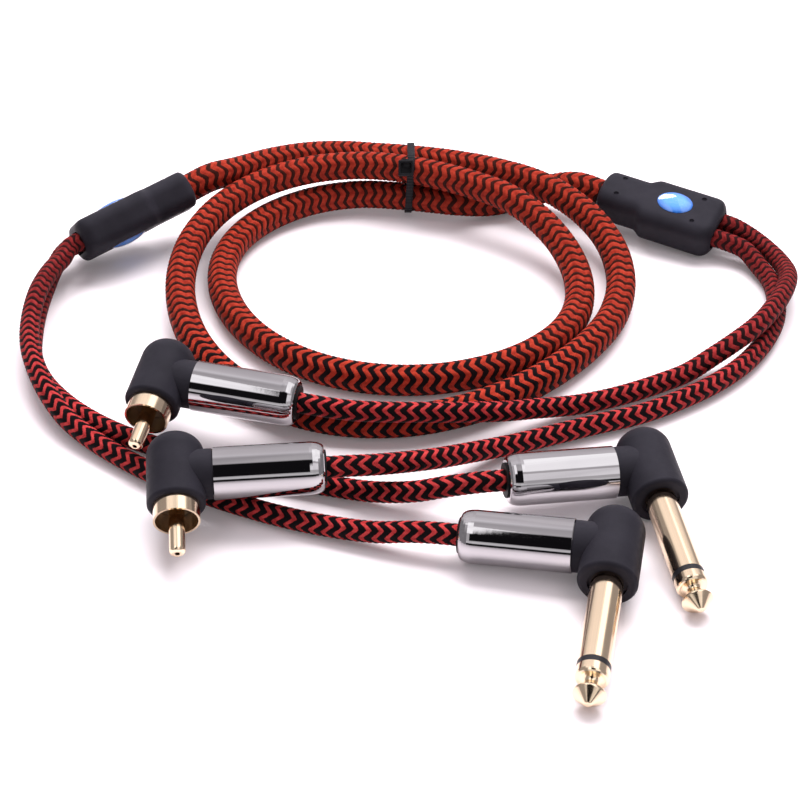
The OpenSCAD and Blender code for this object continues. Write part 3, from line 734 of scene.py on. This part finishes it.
def lead_recess(place):
    """What is cut out of a splitter's wide end, where the leads go in."""
    half_t = LEAD_DIA / 2 + RECESS_GAP
    slot = [[(x, y, z) for y, z in section_points(LEAD_SPACING + half_t, half_t, RECESS_CORNER)]
            for x in (SPLITTER_LENGTH - LEAD_RECESS, SPLITTER_LENGTH + 1)]
    return swept_mesh("lead_recess", slot, place)


def splitter_shell(name, place):
    """A splitter's skin, with stations closer together toward its rounded ends."""
    ends = [END_ROOM * (1 - math.cos(math.radians(a))) for a in range(0, 91, 6)]
    stations = ends + list(np.linspace(END_ROOM, SPLITTER_LENGTH - END_ROOM, STATIONS)[1:-1])
    stations += [SPLITTER_LENGTH - x for x in reversed(ends)]
    rings = [[(x, y, z) for y, z in section_points(*housing_section(x), SPLITTER_EDGE)]
             for x in stations]
    shell = swept_mesh(name, rings, place)
    carve(shell, dimple_balls(place) + [lead_recess(place)])
    smooth_faces(shell.data, 38)
    return shell


def badge_dome(name, face, place):
    """An oval lens with a low dome and a rounded rim, sunk a little into its face."""
    base = SPLITTER_THICK / 2
    reach = [1.0] + [math.cos(math.radians(90 * k / BADGE_STOP)) for k in range(BADGE_ROWS)]
    heights = [BADGE_FOOT] + [BADGE_RIM + BADGE_RISE * (1 - r**2) ** BADGE_POWER for r in reach[1:]]
    rings = [
        [(BADGE_PLACE + BADGE_HALF[0] * r * math.cos(b), face * BADGE_HALF[1] * r * math.sin(b),
          face * (base + up)) for b in (2 * math.pi * j / BADGE_SIDES for j in range(BADGE_SIDES))]
        for r, up in zip(reach, heights)]
    dome = swept_mesh(name, rings, place)
    rim = dome.data.uv_layers.new(name="rim")
    for loop in dome.data.loops:
        rim.data[loop.index].uv = (reach[loop.vertex_index // BADGE_SIDES], 0)
    return dome


# ------------------------------------------------------------------ tie
TIE_X = RING_X + 1.5
STRAP_WIDTH, STRAP_THICK = 1.8, 0.55
STRAP_SINK, STRAP_SLANT, STRAP_BEVEL = 0.05, 0.8, 0.12
RIDGE_DEPTH, RIDGE_EVERY = 0.12, 4
STRAP_STEP = 0.2
HEAD_TURN = 147
HEAD_SIZE, HEAD_PIT = (3.8, 3.0, 3.9), (0.85, 1.2)
HEAD_LIFT, HEAD_SHIFT = 1.85, -0.5
TAIL_SIZE, TAIL_LIFT, TAIL_DROP = (STRAP_WIDTH, 0.7, 2.2), 2.1, -1.2


def strand_at_tie(a, b):
    """Where the strand from a to b passes the tie, in the YZ plane."""
    a, b = np.array(a), np.array(b)
    return (a + (b - a) * (TIE_X - a[0]) / (b[0] - a[0]))[1:]


def tight_loop(centres, radius):
    """Even points of a belt round some circles, with the outward direction at each."""
    angles = np.radians(np.arange(0, 360, 1.0))
    out = np.stack([np.cos(angles), np.sin(angles)], 1)
    reach = np.array([[c @ o for o in out] for c in centres])
    points = np.array([centres[reach[:, i].argmax()] + radius * o for i, o in enumerate(out)])
    points = np.vstack([points, points[:1]])
    run = np.r_[0, np.cumsum(np.linalg.norm(np.diff(points, axis=0), axis=1))]
    at = np.linspace(0, run[-1], int(run[-1] / STRAP_STEP), endpoint=False)
    even = np.stack([np.interp(at, run, points[:, k]) for k in (0, 1)], 1)
    along = np.roll(even, -1, axis=0) - np.roll(even, 1, axis=0)
    along /= np.linalg.norm(along, axis=1)[:, None]
    return even, np.stack([along[:, 1], -along[:, 0]], 1)


def tie_strap(centres):
    """The strap, with fine ridges across its outer face."""
    inner, outward = tight_loop(centres, MAIN_DIA / 2 - STRAP_SINK)
    half = STRAP_WIDTH / 2
    section = [(-half, 0.0), (half, 0.0), (half, 0.75), (half - STRAP_BEVEL, 1.0),
               (-half + STRAP_BEVEL, 1.0), (-half, 0.75)]
    verts = []
    low, high = inner[:, 1].min(), inner[:, 1].max()
    for i, (p, o) in enumerate(zip(inner, outward)):
        thick = STRAP_THICK - (RIDGE_DEPTH if i % RIDGE_EVERY < RIDGE_EVERY / 2 else 0)
        slant = STRAP_SLANT * (p[1] - low) / (high - low)
        for x, share in section:
            y, z = p + o * thick * share
            verts.append((np.array([TIE_X + slant + x, y, z])) * MM)
    return mesh_object("tie_strap", verts, quads(len(inner), len(section), closed=True))


def rounded_box(name, size, centre, to_world, edge, pit=None):
    """A small block with rounded edges; pit is the wall round a pit in its far face, and its depth."""
    mesh = bmesh.new()
    bmesh.ops.create_cube(mesh, size=1.0)
    for v in mesh.verts:
        v.co = Vector([v.co[k] * size[k] for k in range(3)])
    if pit:
        wall, depth = pit
        top = max(mesh.faces, key=lambda f: f.calc_center_median().y)
        bmesh.ops.inset_individual(mesh, faces=[top], thickness=wall)
        moved = bmesh.ops.extrude_discrete_faces(mesh, faces=[top])["faces"][0]
        for v in moved.verts:
            v.co.y -= depth
    bmesh.ops.bevel(mesh, geom=mesh.edges[:], offset=edge, segments=3, affect="EDGES",
                    profile=0.5, clamp_overlap=True)
    for v in mesh.verts:
        v.co = Vector(to_world(np.array(v.co) + np.array(centre))) * MM
    data = bpy.data.meshes.new(name)
    mesh.to_mesh(data)
    mesh.free()
    smooth_faces(data, 35)
    obj = bpy.data.objects.new(name, data)
    scene.collection.objects.link(obj)
    return obj


strands = [
    strand_at_tie(ring_point(0), ring_point(1 / PER_TURN)),
    strand_at_tie(ring_point(1), ring_point(1 + 1 / PER_TURN)),
    strand_at_tie(ring_point(2), ring_point(2) + MAIN_DIA * END_WAY),
]


def in_head(point):
    """A point of the tie's head, which sits over the middle strand and is turned with it."""
    return np.array([TIE_X, *strands[1]]) + turned((HEAD_TURN, 0, 0)) @ point


for piece in (
        tie_strap(strands),
        rounded_box("tie_head", HEAD_SIZE, (HEAD_SHIFT, MAIN_DIA / 2 + HEAD_LIFT, 0), in_head,
                    edge=0.3, pit=HEAD_PIT),
        rounded_box("tie_end", TAIL_SIZE, (HEAD_SHIFT, MAIN_DIA / 2 + TAIL_LIFT, TAIL_DROP), in_head,
                    edge=0.15)):
    dress(piece, tie_mat, "tie_black", "cable_tie")

badge_domes = []
for hand, place in (("right", RIGHT_SPLITTER), ("left", LEFT_SPLITTER)):
    shell = splitter_shell(f"{hand}_splitter_shell", place)
    dress(shell, body_mat, "body_plastic", f"{hand}_splitter_housing")
    for face, word in ((1, "top"), (-1, "bottom")):
        dome = badge_dome(f"{hand}_{word}_badge_dome", face, place)
        dress(dome, badge_mat, "badge_blue", f"{hand}_splitter_{word}_badge")
        badge_domes.append(dome)

# the CAD objects' round faces reflect evenly
for obj in nodes.values():
    if obj.type == "MESH":
        smooth_faces(obj.data, 32)

# ------------------------------------------------------------------ floor
FLOOR_COLOUR = (0.91, 0.835, 0.875)
FLOOR_HALF, FLOOR_DOWN = 3, -0.0002
# what the camera sees of the floor is lifted a little near the cable and to white far from it,
# by the distance from the middle in metres
NEAR_LIFT, FAR_LIFT = 0.08, 0.9
LIFT_FROM, LIFT_OVER = 0.3, 0.9


def floor_material():
    mat, tree, shader = material("floor")
    set_inputs(shader, Base_Color=(*FLOOR_COLOUR, 1), Roughness=0.2, Specular_IOR_Level=0.3)
    away = node(tree, "ShaderNodeVectorMath", operation="LENGTH")
    tree.links.new(node(tree, "ShaderNodeTexCoord").outputs["Object"], away.inputs[0])
    far = over(tree, minus(tree, away.outputs["Value"], LIFT_FROM), LIFT_OVER, clamp=True)
    lift = node(tree, "ShaderNodeEmission")
    tree.links.new(plus(tree, times(tree, far, FAR_LIFT), NEAR_LIFT), lift.inputs["Strength"])
    clear = node(tree, "ShaderNodeBsdfTransparent")
    set_inputs(clear, Color=(0, 0, 0, 1))
    pick = node(tree, "ShaderNodeMixShader")
    total = node(tree, "ShaderNodeAddShader")
    feed(tree, pick.inputs[0], node(tree, "ShaderNodeLightPath").outputs["Is Camera Ray"])
    feed(tree, pick.inputs[1], clear.outputs[0])
    feed(tree, pick.inputs[2], lift.outputs[0])
    feed(tree, total.inputs[0], shader.outputs[0])
    feed(tree, total.inputs[1], pick.outputs[0])
    feed(tree, tree.nodes["Material Output"].inputs[0], total.outputs[0])
    return mat


floor_corners = [(x * FLOOR_HALF, y * FLOOR_HALF, FLOOR_DOWN)
                 for x, y in ((-1, -1), (1, -1), (1, 1), (-1, 1))]
floor = mesh_object("floor", floor_corners, [(0, 1, 2, 3)])
floor.data.materials.append(floor_material())

# ------------------------------------------------------------------ room
# the studio: a pale room with bright windows at the left and at the right, between them a dark
# opening over the camera whose left corner is cut off at a slant, a low bright strip in front,
# and a thin dark line where the table ends
WINDOW, LOW_WINDOW, SIDE_WALL = (2.2, 2.17, 2.2), (1.6, 1.56, 1.6), (0.42, 0.40, 0.42)
LILAC, BRIGHT, DARK = (0.28, 0.262, 0.274), (1.15, 1.13, 1.15), (0.012, 0.011, 0.013)
# the room's colour by its lean, in degrees from overhead toward the viewer
STRIPS = [
    (-100, (0.60, 0.555, 0.585)), (-62, (1.12, 1.06, 1.10)), (-38, (1.25, 1.19, 1.23)),
    (-24, (1.42, 1.37, 1.42)), (-12, (0.82, 0.78, 0.81)), (6, (0.92, 0.88, 0.91)),
    (71, (0.9, 0.87, 0.89)), (73, BRIGHT), (79, BRIGHT), (81.5, DARK), (87, DARK), (90, LILAC)]
ROOM_STRENGTH = 0.85
# the windows and the opening: from and to, sideways and in degrees of lean
LEFT_SIDE, LEFT_LEAN = (-0.6, -0.215), (-19, 40)
RIGHT_SIDE, RIGHT_LEAN, RIGHT_LOW_LEAN = (0.12, 0.7), (-45, 22), (28, 61)
OPENING_SIDE, OPENING_LEAN = (-0.5, 0.17), (12, 69)
SLANT_FROM, SLANT_RATE, SLANT_BY = -0.24, 12.0, 22


def at_lean(degrees):
    return 0.5 + degrees / 360


def room_places(tree):
    """Where a direction points: its lean round the X axis, and how far sideways it goes."""
    way = node(tree, "ShaderNodeSeparateXYZ")
    tree.links.new(node(tree, "ShaderNodeTexCoord").outputs["Generated"], way.inputs[0])
    lean = math_node(tree, "ARCTAN2", times(tree, way.outputs[1], -1.0), way.outputs[2])
    lean = plus(tree, over(tree, lean, 2 * math.pi), 0.5)
    aside = times(tree, math_node(tree, "POWER", way.outputs[0], 2.0), 0.999)
    across = math_node(tree, "SQRT", minus(tree, 1.0, aside))
    return lean, over(tree, way.outputs[0], across)


def between(tree, value, low, high, soft, low_soft=None):
    """1 between two limits, each a number or a socket, and 0 outside."""
    above = over(tree, minus(tree, value, low), low_soft or soft, clamp=True)
    below = over(tree, minus(tree, high, value), soft, clamp=True)
    return times(tree, above, below)


def leaning(tree, lean, low, high, soft):
    return between(tree, lean, at_lean(low), at_lean(high), soft / 360)


def with_windows(tree, walls, lean, sideways):
    left = times(tree, between(tree, sideways, *LEFT_SIDE, 0.012), leaning(tree, lean, *LEFT_LEAN, 5))
    at_right = between(tree, sideways, *RIGHT_SIDE, 0.03)
    right = times(tree, at_right, leaning(tree, lean, *RIGHT_LEAN, 4))
    right_low = times(tree, at_right, leaning(tree, lean, *RIGHT_LOW_LEAN, 3))
    lit = mixed(tree, left, walls, WINDOW)
    return mixed(tree, right, mixed(tree, right_low, lit, LOW_WINDOW), WINDOW)


def with_opening(tree, walls, lean, sideways):
    """The dark opening; its far edge slants toward its left corner."""
    low, high = OPENING_LEAN
    slant = times(tree, minus(tree, SLANT_FROM, sideways), SLANT_RATE, clamp=True)
    far_edge = plus(tree, at_lean(low), times(tree, slant, SLANT_BY / 360))
    opening = times(tree, between(tree, sideways, *OPENING_SIDE, 0.02),
                    between(tree, lean, far_edge, at_lean(high), 1.5 / 360, 5 / 360))
    return mixed(tree, opening, walls, DARK)


def with_streaks(tree, walls, sideways):
    """Soft streaks across the room."""
    streak = node(tree, "ShaderNodeTexNoise", noise_dimensions="1D")
    set_inputs(streak, Scale=9.0, Detail=3.0)
    tree.links.new(sideways, streak.inputs["W"])
    streaks = ramp(tree, streak.outputs["Fac"], [(0.3, (0.80, 0.79, 0.80)), (0.68, (1, 1, 1))])
    return mixed(tree, 1.0, walls, streaks, "MULTIPLY")


def build_room():
    world = bpy.data.worlds.new("world")
    scene.world = world
    world.use_nodes = True
    tree = world.node_tree
    lean, sideways = room_places(tree)
    room = ramp(tree, lean, [(at_lean(degrees), colour) for degrees, colour in STRIPS])
    room = with_windows(tree, room, lean, sideways)
    room = with_opening(tree, room, lean, sideways)
    wide = ramp(tree, math_node(tree, "ABSOLUTE", sideways), [(0.66, (0, 0, 0)), (0.86, (1, 1, 1))])
    room = with_streaks(tree, mixed(tree, wide, room, SIDE_WALL), sideways)
    to_camera = node(tree, "ShaderNodeLightPath").outputs["Is Camera Ray"]
    background = tree.nodes["Background"]
    tree.links.new(mixed(tree, to_camera, room, (1, 1, 1)), background.inputs[0])
    background.inputs[1].default_value = ROOM_STRENGTH


build_room()


# ------------------------------------------------------------------ lamps
def area_light(name, at, target, size, energy):
    data = bpy.data.lights.new(name, "AREA")
    data.shape = "RECTANGLE"
    data.size, data.size_y = size
    data.energy = energy
    obj = bpy.data.objects.new(name, data)
    scene.collection.objects.link(obj)
    obj.location = at
    aim = Vector(target) - Vector(at)
    obj.rotation_euler = aim.to_track_quat("-Z", "Y").to_euler()
    return obj


key = area_light("key", at=(0.06, 0.42, 0.74), target=(0, 0, 0), size=(0.85, 0.5), energy=13.2)
key.visible_glossy = False
# a small lamp for the badges alone
glint = area_light(
    "glint", at=(-0.06, 0.82, 0.585), target=(0.06, 0.07, 0.01), size=(0.56, 0.40), energy=6.0)
glint.data.shape = "ELLIPSE"
glint.visible_diffuse = False
badges = bpy.data.collections.new("badges")
for dome in badge_domes:
    badges.objects.link(dome)
glint.light_linking.receiver_collection = badges
